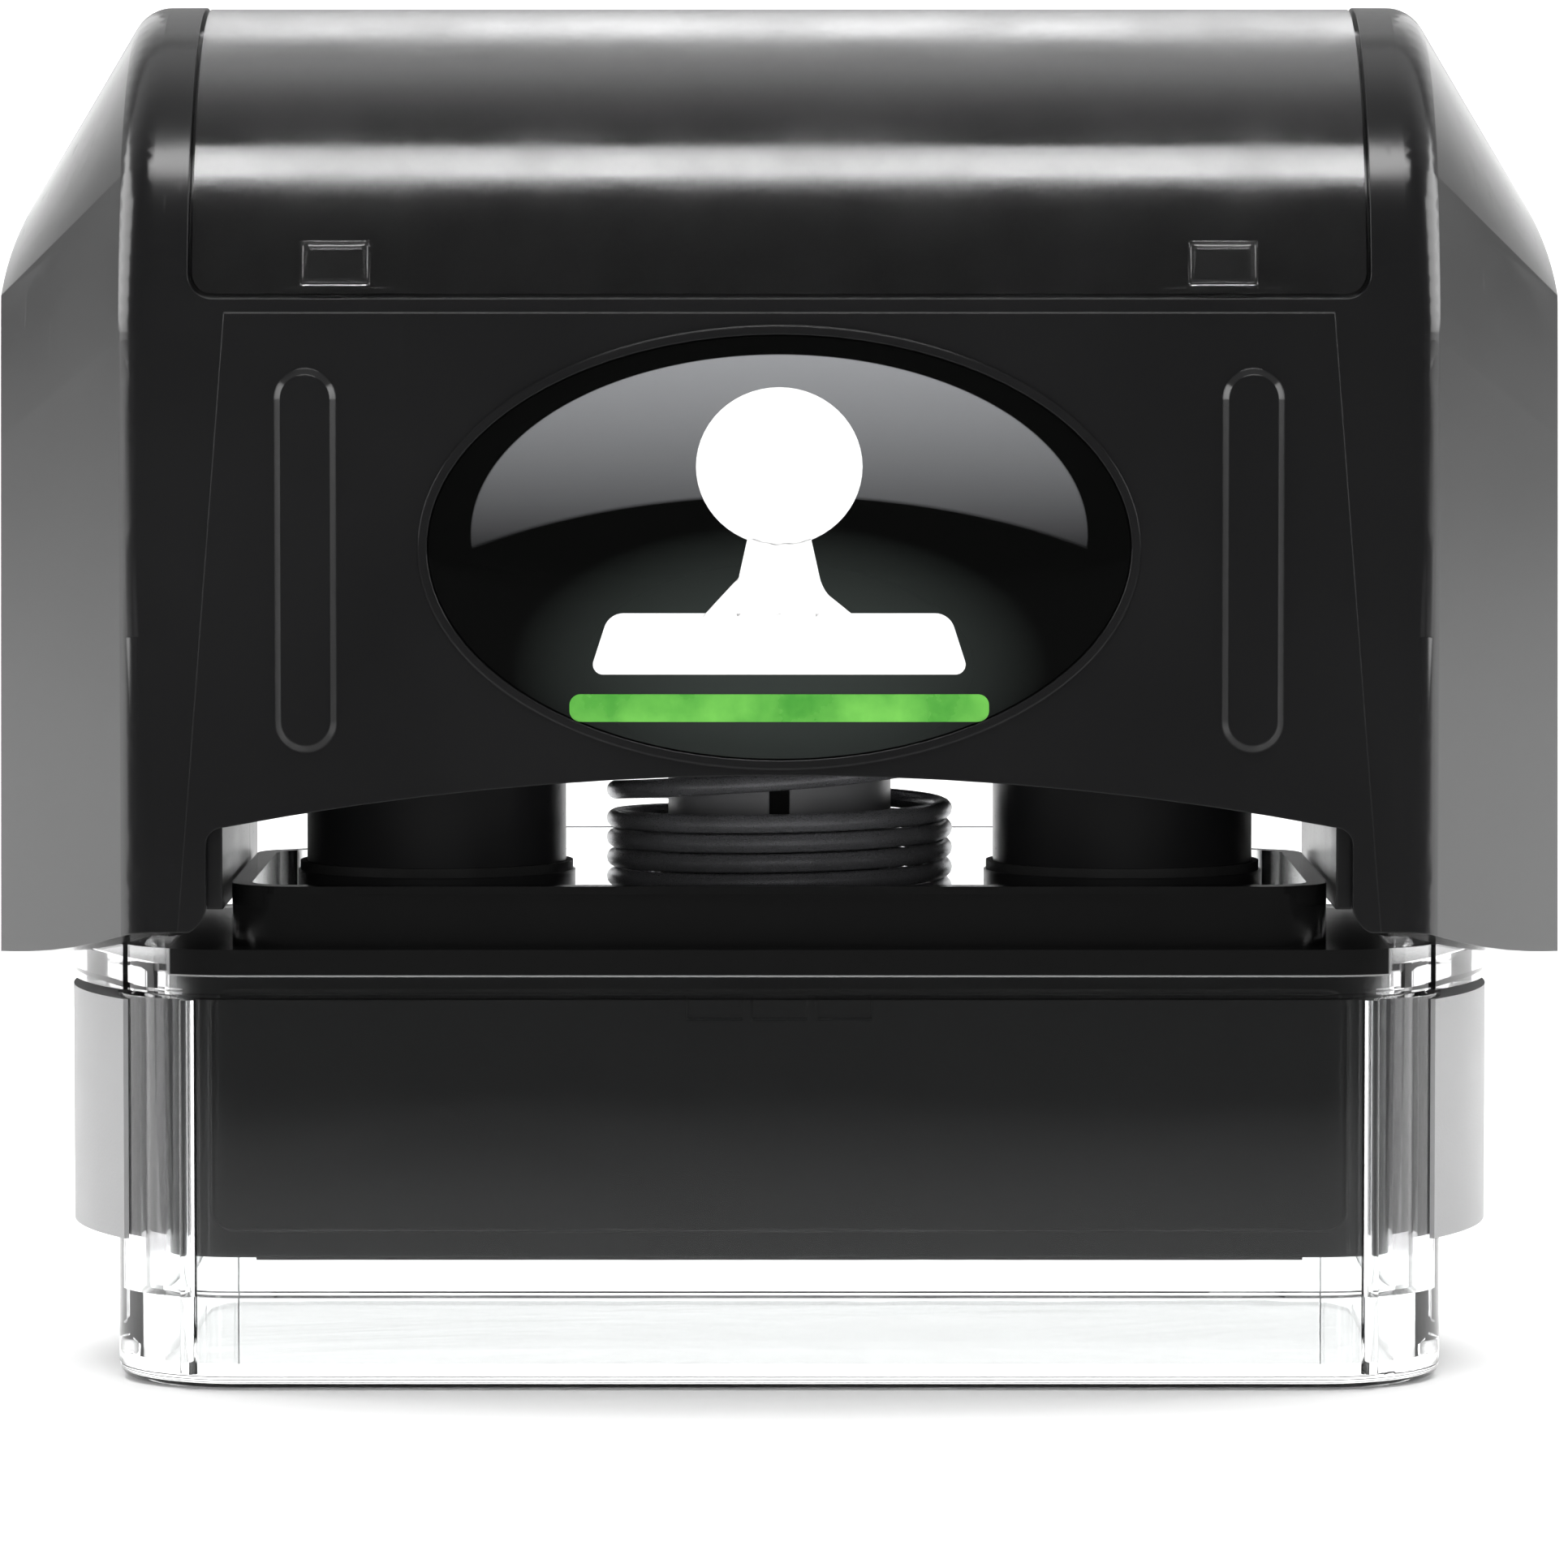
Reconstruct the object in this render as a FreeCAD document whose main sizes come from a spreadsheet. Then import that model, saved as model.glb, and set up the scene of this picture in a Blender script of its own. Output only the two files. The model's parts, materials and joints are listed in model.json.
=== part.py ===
import FreeCAD, Part
import math
import os
from types import SimpleNamespace

import Sketcher

# Pre-inked hand stamp. Millimetres, X along the length, -Y is the badge side, +Z up.
# The origin is the middle of the dust cap's underside.

doc = FreeCAD.newDocument("hand_stamp")

DRIVING_SIZES = {
    "tool_reach": 60.0,
    # dust cap
    "cap_half_x": 42.6, "cap_half_y": 19.3, "cap_corner": 8.0, "cap_top": 24.9,
    "cap_wall": 1.4, "cap_floor": 1.4, "cap_ledge": 5.75, "cap_edge": 1.0,
    "bead_radius": 0.55, "bead_x": 37.6, "bead_sink": 0.2,
    "grip_bottom": 9.2, "grip_top": 24.6, "grip_reach": 46.3, "grip_radius": 28.3, "grip_half_y": 15.0,
    # clear skirt frame
    "skirt_bottom": 6.05, "skirt_half_x": 40.9, "skirt_half_y": 17.6, "skirt_corner": 6.3,
    "skirt_wall": 1.3, "shoulder_bottom": 25.2, "shoulder_top": 28.1, "cover_thick": 1.2,
    "deck_top": 29.0, "lip_half_x": 35.1, "lip_half_y": 17.2, "lip_corner": 4.0,
    "lip_top": 32.0, "rear_lip_top": 33.5, "lip_bead": 0.5,
    # posts, bushes and the spring
    "post_x": 22.5, "post_radius": 8.5, "post_play": 0.06, "bush_radius": 9.1, "bush_top": 31.9,
    "ring_radius": 8.95, "ring_height": 0.6,
    "spring_outer": 11.35, "spring_inner": 10.1, "seat_thick": 0.8,
    "tube_outer": 7.3, "tube_inner": 5.9, "tube_top": 50.0, "slot_width": 1.3, "slot_bottom": 30.2,
    # die block
    "carrier_half_x": 39.3, "carrier_half_y": 16.0, "carrier_corner": 4.7,
    "carrier_bottom": 8.2, "carrier_top": 26.6, "carrier_wall": 2.3, "carrier_roof": 20.3,
    "panel_margin": 3.3, "panel_low": 9.9, "panel_high": 25.3, "panel_depth": 0.4, "panel_corner": 1.2,
    "cell_half": 6.2, "cell_low": 23.4, "cell_high": 24.9, "cell_web": 0.3, "cell_depth": 1.0,
    "cushion_bottom": 18.8, "plate_bottom": 18.0, "felt_bottom": 13.0,
    "die_half_x": 35.0, "die_half_y": 11.0, "die_base": 7.8, "die_face": 7.3,
    "border_inset": 1.2, "border_width": 0.8, "bar_height": 1.6, "bar_half_x": 28.0, "bar_step": 5.0,
    "retainer_top": 11.6,
    "screw_radius": 1.75, "head_radius": 3.4, "head_height": 2.2, "screw_top": 38.0,
    "drive_radius": 1.2, "drive_depth": 1.2,
    # chassis inside the handle
    "chassis_bottom": 56.0, "chassis_top": 58.5, "chassis_half_x": 45.0, "chassis_half_y": 18.7,
    "chassis_corner": 12.0, "socket_wall": 1.5, "socket_depth": 4.0,
    "cup_wall": 0.7, "cup_gap": 0.25, "cup_depth": 6.0,
    "rib_inner": 35.4, "rib_outer": 36.4, "rib_half_y": 18.2, "rib_bottom": 30.6,
    "stop_x": 43.2, "stop_y": 8.0, "stop_radius": 0.95, "stop_height": 0.7,
    "column_radius": 1.3, "column_bottom": 30.5,
    # handle shell
    "shell_half_x": 50.9, "shell_half_y": 20.9, "shell_wall": 1.3, "end_wall": 1.8,
    "corner_x": 41.0, "corner_round": 2.6, "nose_half": 4.5, "nose_low": 60.0, "nose_side": 69.1,
    "nose_top": 71.9, "cavity_corner_x": 39.9, "cavity_nose_half": 3.6, "axis_height": 67.3,
    "shoulder_x": 50.45, "shoulder_z": 72.56, "shoulder_round": 13.0, "limit_x": 17.2,
    "form_low": 25.7, "shell_bottom": 26.7, "bottom_radius": 84.5, "bottom_rise": 2.75,
    "core_radius": 19.1, "core_wall": 1.5, "cavity_step": 64.0,
    "leg_x": 38.3, "leg_bottom": 29.1, "arch_x": 36.3, "leg_round": 2.0,
    "spring_line": 36.0, "arch_corner": 1.2, "arch_top": 39.3,
    "facet_low_x": 38.1, "facet_high_x": 35.0, "facet_high_z": 68.5, "facet_proud": 0.06,
    "pad_x": 29.9, "pad_low": 40.8, "pad_high": 65.0, "pad_half": 1.95, "pad_proud": 0.5,
    "pad_chamfer": 0.4,
    # badge
    "badge_z": 53.7, "rim_major": 22.8, "rim_minor": 14.0, "rim_width": 0.55, "rim_proud": 0.2,
    "badge_play": 0.1, "badge_sink": 0.5, "badge_proud": 0.4, "badge_dome": 600.0,
    # window over the crown
    "window_half_x": 37.0, "window_outer": 20.8, "window_inner": 19.4, "window_low": 69.7,
    "window_corner": 1.3, "window_gap": 0.3,
    "clip_x": 28.0, "clip_half": 2.2, "clip_low": 70.4, "clip_high": 72.6,
    "clip_inner": 18.6, "clip_outer": 19.6,
    "notch_low": 70.0, "notch_high": 73.3, "notch_low_half": 3.7, "notch_high_half": 3.3,
    "notch_floor": 18.2,
}


class Size:
    """A length that keeps its number and its spreadsheet formula together."""

    def __init__(self, value, formula):
        self.value = value
        self.formula = formula

    def __add__(self, other):
        other = as_size(other)
        return Size(self.value + other.value, f"({self.formula} + {other.formula})")

    def __sub__(self, other):
        other = as_size(other)
        return Size(self.value - other.value, f"({self.formula} - {other.formula})")

    def __mul__(self, factor):
        return Size(self.value * factor, f"({self.formula} * {factor})")

    def __neg__(self):
        return self * -1


def as_size(number):
    return number if isinstance(number, Size) else Size(float(number), f"({float(number)})")


def fill_sheet():
    """Write the driving sizes to the spreadsheet and give them back as Size objects."""
    sheet = doc.addObject("Spreadsheet::Sheet", "Sizes")
    for row, (name, value) in enumerate(DRIVING_SIZES.items(), start=1):
        sheet.set(f"A{row}", name)
        sheet.set(f"B{row}", str(value))
        sheet.setAlias(f"B{row}", name)
    doc.recompute()
    return SimpleNamespace(**{name: Size(value, f"Sizes.{name}") for name, value in DRIVING_SIZES.items()})


# --- sketching helpers -----------------------------------------------------------------------

def corner(x, y, rounding=None, curve=None, centre_left=True):
    """An outline corner. rounding fillets it; curve is the radius of an arc to the next corner."""
    return SimpleNamespace(x=as_size(x), y=as_size(y), rounding=rounding, curve=curve,
                           centre_left=centre_left)


def corner_point(spot):
    return FreeCAD.Vector(spot.x.value, spot.y.value, 0)


def arc_between(start, end, radius, centre_left):
    """A circle's short arc from start to end, kept anticlockwise as sketches store it."""
    chord = end - start
    left = FreeCAD.Vector(-chord.y, chord.x, 0).normalize()
    offset = math.sqrt(max(radius ** 2 - (chord.Length / 2) ** 2, 0.0))
    centre = (start + end) * 0.5 + left * (offset if centre_left else -offset)
    first, last = (start, end) if centre_left else (end, start)
    first_angle = math.atan2(first.y - centre.y, first.x - centre.x)
    last_angle = math.atan2(last.y - centre.y, last.x - centre.x)
    if last_angle <= first_angle:
        last_angle += 2 * math.pi
    circle = Part.Circle(centre, FreeCAD.Vector(0, 0, 1), radius)
    return Part.ArcOfCircle(circle, first_angle, last_angle)


def fillet_ends(before, here, after, radius):
    """Where a fillet at here leaves its two sides, and whether the outline turns left there."""
    back = (before - here).normalize()
    ahead = (after - here).normalize()
    reach = radius / math.tan(back.getAngle(ahead) / 2)
    turns_left = back.cross(ahead).z < 0
    return here + back * reach, here + ahead * reach, turns_left


def draw_outline(sketch, corners):
    """Draw a closed outline whose corners and radii are all bound to the spreadsheet."""
    points = [corner_point(spot) for spot in corners]
    count = len(corners)
    leave, arrive, fillets = {}, {}, {}
    for index, spot in enumerate(corners):
        leave[index] = arrive[index] = points[index]
        if spot.rounding:
            ends = fillet_ends(points[index - 1], points[index], points[(index + 1) % count],
                               spot.rounding.value)
            arrive[index], leave[index], turns_left = ends
            fillets[index] = sketch.addGeometry(
                arc_between(arrive[index], leave[index], spot.rounding.value, turns_left)), turns_left
    rules, names = [], []

    def add(rule, name=None, formula=None):
        rules.append(rule)
        names.append((name, formula))

    sides = {}
    for index, spot in enumerate(corners):
        start, end = leave[index], arrive[(index + 1) % count]
        if spot.curve:
            side = sketch.addGeometry(arc_between(start, end, spot.curve.value, spot.centre_left))
            sides[index] = (side, 1, 2) if spot.centre_left else (side, 2, 1)
            add(Sketcher.Constraint("Radius", side, spot.curve.value),
                f"side_{index}_curve", spot.curve.formula)
        else:
            sides[index] = (sketch.addGeometry(Part.LineSegment(start, end)), 1, 2)
    for index, spot in enumerate(corners):
        before, before_end = sides[(index - 1) % count][0], sides[(index - 1) % count][2]
        after, after_start = sides[index][0], sides[index][1]
        if spot.rounding:
            fillet, turns_left = fillets[index]
            enter, exit_ = (1, 2) if turns_left else (2, 1)
            mark = sketch.addGeometry(Part.Point(points[index]), True)
            add(Sketcher.Constraint("Tangent", before, before_end, fillet, enter))
            add(Sketcher.Constraint("Tangent", fillet, exit_, after, after_start))
            add(Sketcher.Constraint("PointOnObject", mark, 1, before))
            add(Sketcher.Constraint("PointOnObject", mark, 1, after))
            add(Sketcher.Constraint("Radius", fillet, spot.rounding.value),
                f"corner_{index}_round", spot.rounding.formula)
            held, held_end = mark, 1
        else:
            add(Sketcher.Constraint("Coincident", before, before_end, after, after_start))
            held, held_end = after, after_start
        add(Sketcher.Constraint("DistanceX", -1, 1, held, held_end, spot.x.value),
            f"corner_{index}_across", spot.x.formula)
        add(Sketcher.Constraint("DistanceY", -1, 1, held, held_end, spot.y.value),
            f"corner_{index}_up", spot.y.formula)
    sketch.addConstraint(rules)
    for number, (name, formula) in enumerate(names):
        if name:
            sketch.renameConstraint(number, name)
            sketch.setExpression(f"Constraints.{name}", formula)


def prism(name, plane, corners, start, length):
    """A body with one pad: the outline on an origin plane, moved along its normal by start."""
    body = doc.addObject("PartDesign::Body", name)
    sketch = body.newObject("Sketcher::SketchObject", f"{name}_outline")
    origin_plane = next(item for item in body.Origin.OriginFeatures if item.Role == plane)
    sketch.AttachmentSupport = [(origin_plane, "")]
    sketch.MapMode = "FlatFace"
    sketch.setExpression("AttachmentOffset.Base.z", as_size(start).formula)
    draw_outline(sketch, corners)
    pad = body.newObject("PartDesign::Pad", f"{name}_pad")
    pad.Profile = sketch
    pad.setExpression("Length", length.formula)
    return body


def across(name, corners, half_depth):
    """A prism along Y, the same depth to the front and to the back."""
    return prism(name, "XZ_Plane", corners, -half_depth, half_depth * 2)


def along(name, corners, half_length):
    """A prism along X, the same length to the left and to the right."""
    return prism(name, "YZ_Plane", corners, -half_length, half_length * 2)


def dress(body, kind, size_name, size, wanted):
    """Fillet or chamfer the body's edges for which wanted(edge) is true."""
    doc.recompute()
    tip = body.Tip
    edges = [f"Edge{number}" for number, edge in enumerate(tip.Shape.Edges, start=1) if wanted(edge)]
    feature = body.newObject(f"PartDesign::{kind}", f"{body.Name}_{kind.lower()}")
    feature.Base = (tip, edges)
    feature.setExpression(size_name, size.formula)
    return body


def rectangle(half_x, half_y, rounding=None, low_y=None):
    """A rectangle about the origin, or from low_y up to half_y."""
    low = -half_y if low_y is None else low_y
    return [corner(-half_x, low, rounding), corner(half_x, low, rounding),
            corner(half_x, half_y, rounding), corner(-half_x, half_y, rounding)]


def mirrored(half_outline):
    """Close an outline with its own mirror image; half_outline runs up the +X side."""
    other = []
    for index, spot in reversed(list(enumerate(half_outline))):
        curve = half_outline[index - 1].curve if index else None
        other.append(corner(-spot.x, spot.y, spot.rounding, curve))
    return half_outline + other


def block(name, half_x, half_y, rounding, bottom, top):
    """An upright rounded block about the Z axis."""
    return prism(name, "XY_Plane", rectangle(half_x, half_y, rounding), bottom, top - bottom)


# --- primitive and boolean helpers --------------------------------------------------------------

def place(item, x, y, z):
    for letter, size in zip("xyz", (x, y, z)):
        item.setExpression(f"Placement.Base.{letter}", as_size(size).formula)


def box(name, low, high):
    item = doc.addObject("Part::Box", name)
    for side, start, end in zip(("Length", "Width", "Height"), low, high):
        item.setExpression(side, (as_size(end) - start).formula)
    place(item, *low)
    return item


def cylinder(name, radius, bottom, top, x=0, y=0):
    item = doc.addObject("Part::Cylinder", name)
    item.setExpression("Radius", radius.formula)
    item.setExpression("Height", (as_size(top) - bottom).formula)
    place(item, x, y, bottom)
    return item


def lying_cylinder(name, radius, half_length, z):
    """A cylinder along X, centred on x = 0."""
    item = doc.addObject("Part::Cylinder", name)
    item.setExpression("Radius", radius.formula)
    item.setExpression("Height", (half_length * 2).formula)
    item.Placement.Rotation = FreeCAD.Rotation(FreeCAD.Vector(0, 1, 0), 90)
    place(item, -half_length, 0, z)
    return item


def fuse(name, items):
    item = doc.addObject("Part::MultiFuse", name)
    item.Shapes = items
    return item


def common(name, items):
    item = doc.addObject("Part::MultiCommon", name)
    item.Shapes = items
    return item


def cut(name, base, tools):
    item = doc.addObject("Part::Cut", name)
    item.Base = base
    item.Tool = tools[0] if len(tools) == 1 else fuse(f"{name}_tools", tools)
    return item


def tube(name, outer, inner, bottom, top, x=0):
    return cut(name, cylinder(f"{name}_outside", outer, bottom, top, x),
               [cylinder(f"{name}_bore", inner, bottom, top, x)])


def oval(name, major, minor, z, back, front):
    """An oval plate standing on edge, from y = -back to y = -front."""
    ring = doc.addObject("Part::Ellipse", f"{name}_ring")
    ring.setExpression("MajorRadius", major.formula)
    ring.setExpression("MinorRadius", minor.formula)
    ring.Placement.Rotation = FreeCAD.Rotation(FreeCAD.Vector(1, 0, 0), 90)
    place(ring, 0, -back, z)
    plate = doc.addObject("Part::Extrusion", name)
    plate.Base = ring
    plate.DirMode = "Custom"
    plate.Dir = FreeCAD.Vector(0, -1, 0)
    plate.Solid = True
    plate.setExpression("LengthFwd", (front - back).formula)
    return plate


SIDES = (("left", -1), ("right", 1))
CREASE_ANGLE = 30  # degrees up the crown's half circle where each end's crease starts
D = fill_sheet()


# --- dust cap ---------------------------------------------------------------------------------

def end_bulge(name, sign, bottom, top):
    """The bowed end beyond the cap's flat end, from its chord out to the middle of the bow."""
    middle = (D.grip_reach - D.grip_radius) * sign
    bow = cylinder(f"{name}_bow", D.grip_radius, bottom, top, middle)
    low_x = D.cap_half_x - D.cap_corner if sign > 0 else -D.grip_reach
    high_x = D.grip_reach if sign > 0 else D.cap_corner - D.cap_half_x
    keep = box(f"{name}_keep", (low_x, -D.grip_half_y, bottom), (high_x, D.grip_half_y, top))
    return common(name, [bow, keep])


def build_dust_cap():
    outside = block("cap_outside", D.cap_half_x, D.cap_half_y, D.cap_corner, as_size(0), D.cap_top)
    dress(outside, "Fillet", "Radius", D.cap_edge, lambda edge: edge.BoundBox.ZMax < 0.01)
    beads = []
    for side, sign in SIDES:
        for face, way in (("front", -1), ("back", 1)):
            depth = (D.cap_half_y - D.bead_sink) * way
            beads.append(cylinder(f"cap_bead_{side}_{face}", D.bead_radius, D.cap_edge, D.cap_top,
                                  D.bead_x * sign, depth))
    hollow = block("cap_hollow", D.cap_half_x - D.cap_wall, D.cap_half_y - D.cap_wall,
                   D.cap_corner - D.cap_wall, D.cap_ledge, D.cap_top)
    step = D.cap_wall * 2 + 0.1
    well = block("cap_well", D.cap_half_x - step, D.cap_half_y - step, D.cap_corner - step,
                 D.cap_floor, D.cap_ledge)
    return cut("dust_cap", fuse("cap_body", [outside] + beads), [hollow, well])


def build_cap_grip(side, sign):
    bulge = end_bulge(f"grip_bulge_{side}", sign, D.grip_bottom, D.grip_top)
    cap_space = block(f"grip_cap_space_{side}", D.cap_half_x, D.cap_half_y, D.cap_corner,
                      D.grip_bottom, D.grip_top)
    return cut(f"cap_grip_{side}", bulge, [cap_space])


# --- clear skirt frame --------------------------------------------------------------------------

def build_skirt_frame():
    lower = block("skirt_lower", D.skirt_half_x, D.skirt_half_y, D.skirt_corner,
                  D.skirt_bottom, D.shoulder_top)
    shoulder = block("skirt_shoulder", D.cap_half_x, D.cap_half_y, D.cap_corner,
                     D.shoulder_bottom, D.shoulder_top)
    bulges = [end_bulge(f"skirt_bulge_{side}", sign, D.shoulder_bottom, D.shoulder_top)
              for side, sign in SIDES]
    deck = block("skirt_deck", D.lip_half_x, D.lip_half_y, D.lip_corner, D.shoulder_top, D.deck_top)
    lip_wall = block("lip_wall", D.lip_half_x, D.lip_half_y, D.lip_corner, D.deck_top, D.lip_top)
    rear = box("rear_lip", (-(D.lip_half_x - D.lip_corner), D.lip_half_y - D.skirt_wall, D.deck_top),
               (D.lip_half_x - D.lip_corner, D.lip_half_y, D.rear_lip_top))
    edge = block("lip_edge", D.lip_half_x - D.skirt_wall, D.lip_half_y + D.lip_bead * 0.6,
                 D.lip_corner - D.skirt_wall, D.lip_top - D.lip_bead, D.lip_top)
    solid = fuse("skirt_solid", [lower, shoulder, deck, lip_wall, edge, rear] + bulges)
    room = block("skirt_room", D.skirt_half_x - D.skirt_wall, D.skirt_half_y - D.skirt_wall,
                 D.skirt_corner - D.skirt_wall, D.skirt_bottom, D.shoulder_top - D.cover_thick)
    tray = block("lip_tray", D.lip_half_x - D.skirt_wall, D.lip_half_y - D.skirt_wall,
                 D.lip_corner - D.skirt_wall, D.deck_top, D.rear_lip_top)
    bores = [cylinder(f"skirt_bore_{side}", D.bush_radius, D.cap_floor, D.deck_top, D.post_x * sign)
             for side, sign in SIDES]
    return cut("skirt_frame", solid, [room, tray] + bores)


def build_stop_pads():
    discs = []
    for side, sign in SIDES:
        for face, way in (("front", -1), ("back", 1)):
            discs.append(cylinder(f"stop_{side}_{face}", D.stop_radius, D.shoulder_top,
                                  D.shoulder_top + D.stop_height, D.stop_x * sign, D.stop_y * way))
    return fuse("stop_pads", discs)


def build_guide_bush(side, sign):
    return tube(f"guide_bush_{side}", D.bush_radius, D.post_radius + D.post_play,
                D.shoulder_top - D.cover_thick, D.bush_top, D.post_x * sign)


def build_post_ring(side, sign):
    return tube(f"post_ring_{side}", D.ring_radius, D.post_radius + D.post_play,
                D.bush_top, D.bush_top + D.ring_height, D.post_x * sign)


# --- posts, spring and guide tube ---------------------------------------------------------------

def build_guide_post(side, sign):
    spot = D.post_x * sign
    post = cylinder(f"post_rod_{side}", D.post_radius, D.carrier_top, D.chassis_top, spot)
    bore = cylinder(f"post_bore_{side}", D.screw_radius, D.carrier_top, D.screw_top, spot)
    return cut(f"guide_post_{side}", post, [bore])


def build_post_screws():
    screws = []
    head_top = D.carrier_roof + D.head_height
    for side, sign in SIDES:
        spot = D.post_x * sign
        head = cylinder(f"screw_head_{side}", D.head_radius, D.carrier_roof, head_top, spot)
        shank = cylinder(f"screw_shank_{side}", D.screw_radius, head_top, D.screw_top, spot)
        drive = cylinder(f"screw_drive_{side}", D.drive_radius, D.carrier_roof,
                         D.carrier_roof + D.drive_depth, spot)
        screws.append(cut(f"screw_{side}", fuse(f"screw_blank_{side}", [head, shank]), [drive]))
    return fuse("post_screws", screws)


def build_spring_seat():
    return tube("spring_seat", D.spring_outer + D.seat_thick, D.tube_outer, D.deck_top,
                D.deck_top + D.seat_thick)


def build_return_spring():
    return tube("return_spring", D.spring_outer, D.spring_inner, D.deck_top + D.seat_thick,
                D.chassis_bottom)


def build_spring_guide_tube():
    wall = tube("guide_tube_wall", D.tube_outer, D.tube_inner, D.deck_top, D.tube_top)
    slot = box("guide_tube_slot", (D.slot_width * -0.5, -D.tube_outer, D.slot_bottom),
               (D.slot_width * 0.5, 0, D.tube_top))
    return cut("spring_guide_tube", wall, [slot])


# --- die block ------------------------------------------------------------------------------

def build_die_carrier():
    outside = block("carrier_outside", D.carrier_half_x, D.carrier_half_y, D.carrier_corner,
                    D.carrier_bottom, D.carrier_top)
    tools = [block("carrier_room", D.carrier_half_x - D.carrier_wall, D.carrier_half_y - D.carrier_wall,
                   D.carrier_corner - D.carrier_wall, D.carrier_bottom, D.carrier_roof)]
    panel = [corner(-(D.carrier_half_x - D.panel_margin), D.panel_low, D.panel_corner),
             corner(D.carrier_half_x - D.panel_margin, D.panel_low, D.panel_corner),
             corner(D.carrier_half_x - D.panel_margin, D.panel_high, D.panel_corner),
             corner(-(D.carrier_half_x - D.panel_margin), D.panel_high, D.panel_corner)]
    cell = D.cell_half * (2 / 3)
    for face, start in (("front", D.carrier_half_y), ("back", -D.carrier_half_y)):
        inward = D.panel_depth if face == "front" else as_size(0)
        tools.append(prism(f"carrier_panel_{face}", "XZ_Plane", panel, start - inward, D.panel_depth))
        deep = D.panel_depth + D.cell_depth
        inward = deep if face == "front" else as_size(0)
        for number in (-1, 0, 1):
            middle = cell * number
            low_x = middle - cell * 0.5 + D.cell_web
            high_x = middle + cell * 0.5 - D.cell_web
            window = [corner(low_x, D.cell_low), corner(high_x, D.cell_low),
                      corner(high_x, D.cell_high), corner(low_x, D.cell_high)]
            tools.append(prism(f"carrier_cell_{face}_{number + 2}", "XZ_Plane", window,
                               start - inward, deep))
    head_top = D.carrier_roof + D.head_height
    for side, sign in SIDES:
        spot = D.post_x * sign
        tools.append(cylinder(f"counterbore_{side}", D.head_radius, D.carrier_roof, head_top, spot))
        tools.append(cylinder(f"shank_hole_{side}", D.screw_radius, head_top, D.carrier_top, spot))
    return cut("die_carrier", outside, tools)


def inner_block(name, bottom, top):
    """A block that fills the carrier's hollow between two heights."""
    return block(name, D.carrier_half_x - D.carrier_wall, D.carrier_half_y - D.carrier_wall,
                 D.carrier_corner - D.carrier_wall, bottom, top)


def build_die_retainer():
    opening = block("retainer_opening", D.die_half_x, D.die_half_y, None, D.carrier_bottom, D.retainer_top)
    return cut("die_retainer", inner_block("retainer_plate", D.carrier_bottom, D.retainer_top), [opening])


def build_ink_die():
    slab = block("die_slab", D.die_half_x, D.die_half_y, None, D.die_base, D.felt_bottom)
    border_x = D.die_half_x - D.border_inset
    border_y = D.die_half_y - D.border_inset
    frame = cut("die_border", block("border_outside", border_x, border_y, None, D.die_face, D.die_base),
                [block("border_inside", border_x - D.border_width, border_y - D.border_width, None,
                       D.die_face, D.die_base)])
    bars = []
    for number in (-1, 0, 1):
        middle = D.bar_step * number
        reach = D.bar_half_x if number else D.bar_half_x * 0.7
        bars.append(box(f"die_bar_{number + 2}", (-reach, middle - D.bar_height * 0.5, D.die_face),
                        (reach, middle + D.bar_height * 0.5, D.die_base)))
    return fuse("ink_die", [slab, frame] + bars)


# --- chassis inside the handle ------------------------------------------------------------------

def build_inner_chassis():
    solids = [block("chassis_plate", D.chassis_half_x, D.chassis_half_y, D.chassis_corner,
                    D.chassis_bottom, D.chassis_top)]
    holes = []
    for side, sign in SIDES:
        spot = D.post_x * sign
        solids.append(cylinder(f"socket_{side}", D.post_radius + D.socket_wall,
                               D.chassis_bottom - D.socket_depth, D.chassis_bottom, spot))
        holes.append(cylinder(f"socket_bore_{side}", D.post_radius,
                              D.chassis_bottom - D.socket_depth, D.chassis_top, spot))
    return cut("inner_chassis", fuse("chassis_solid", solids), holes)


def build_side_plate(side, sign):
    low_x, high_x = sorted((D.rib_inner * sign, D.rib_outer * sign), key=lambda size: size.value)
    return box(f"side_plate_{side}", (low_x, -D.rib_half_y, D.rib_bottom),
               (high_x, D.rib_half_y, D.chassis_bottom))


def build_press_columns():
    """Four columns that meet the stop pads at the end of the press."""
    return fuse("press_columns", [
        cylinder(f"column_{side}_{face}", D.column_radius, D.column_bottom, D.chassis_bottom,
                 D.stop_x * sign, D.stop_y * way)
        for side, sign in SIDES for face, way in (("front", -1), ("back", 1))])


def build_spring_cup():
    inner = D.spring_outer + D.cup_gap
    return tube("spring_cup", inner + D.cup_wall, inner, D.chassis_bottom - D.cup_depth,
                D.chassis_bottom)


# --- handle shell -------------------------------------------------------------------------------

def crown_section(body, name, x, corners):
    """A cross-section sketch of the handle at distance x from the middle."""
    sketch = body.newObject("Sketcher::SketchObject", name)
    plane = next(item for item in body.Origin.OriginFeatures if item.Role == "YZ_Plane")
    sketch.AttachmentSupport = [(plane, "")]
    sketch.MapMode = "FlatFace"
    sketch.setExpression("AttachmentOffset.Base.z", as_size(x).formula)
    draw_outline(sketch, corners)
    return sketch


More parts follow.
